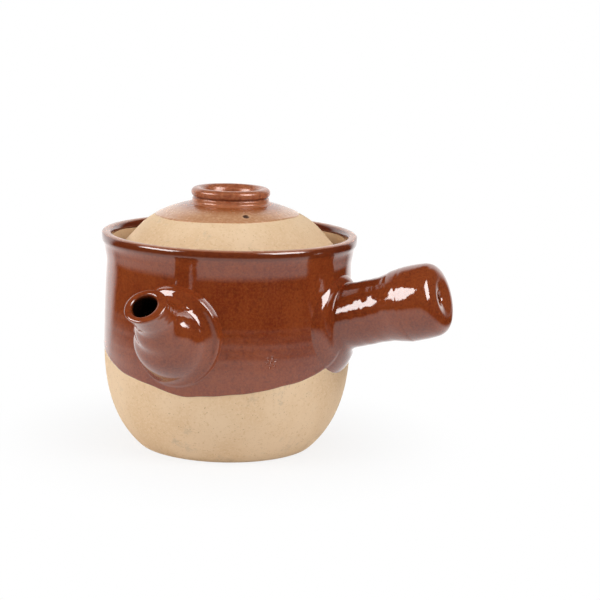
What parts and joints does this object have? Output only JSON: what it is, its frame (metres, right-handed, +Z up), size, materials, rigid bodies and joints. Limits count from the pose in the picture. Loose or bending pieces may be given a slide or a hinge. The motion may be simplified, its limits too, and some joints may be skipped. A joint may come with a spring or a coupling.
{
  "type": "herbal decoction pot",
  "caption": "Half-glazed stoneware pot for simmering herbs, with a hollow side handle, a pouring spout and a loose domed lid.",
  "frame": {"origin": "centre of the flat foot, on the pot's axis", "axes": "+Z up the pot's axis, +X along the handle, -Y along the spout"},
  "size_m": [0.2184, 0.1925, 0.1569],
  "materials": {
    "buff_clay": "matte bisque",
    "brown_glaze": "glossy",
    "liner_glaze": "glossy",
    "knob_glaze": "glossy",
    "crown_glaze": "satin, thin and half clear"
  },
  "bodies": {
    "pot": {"pot_body": "buff_clay", "outer_glaze": "brown_glaze", "inner_glaze": "liner_glaze", "spout": "brown_glaze", "handle": "brown_glaze"},
    "lid": {"lid": "buff_clay", "lid_knob": "knob_glaze", "lid_glaze": "crown_glaze"}
  },
  "joints": [
    {"name": "lid_lift", "type": "slide", "parent": "pot", "child": "lid", "axis": [0, 0, 1], "range_m": [0, 0.06]}
  ]
}
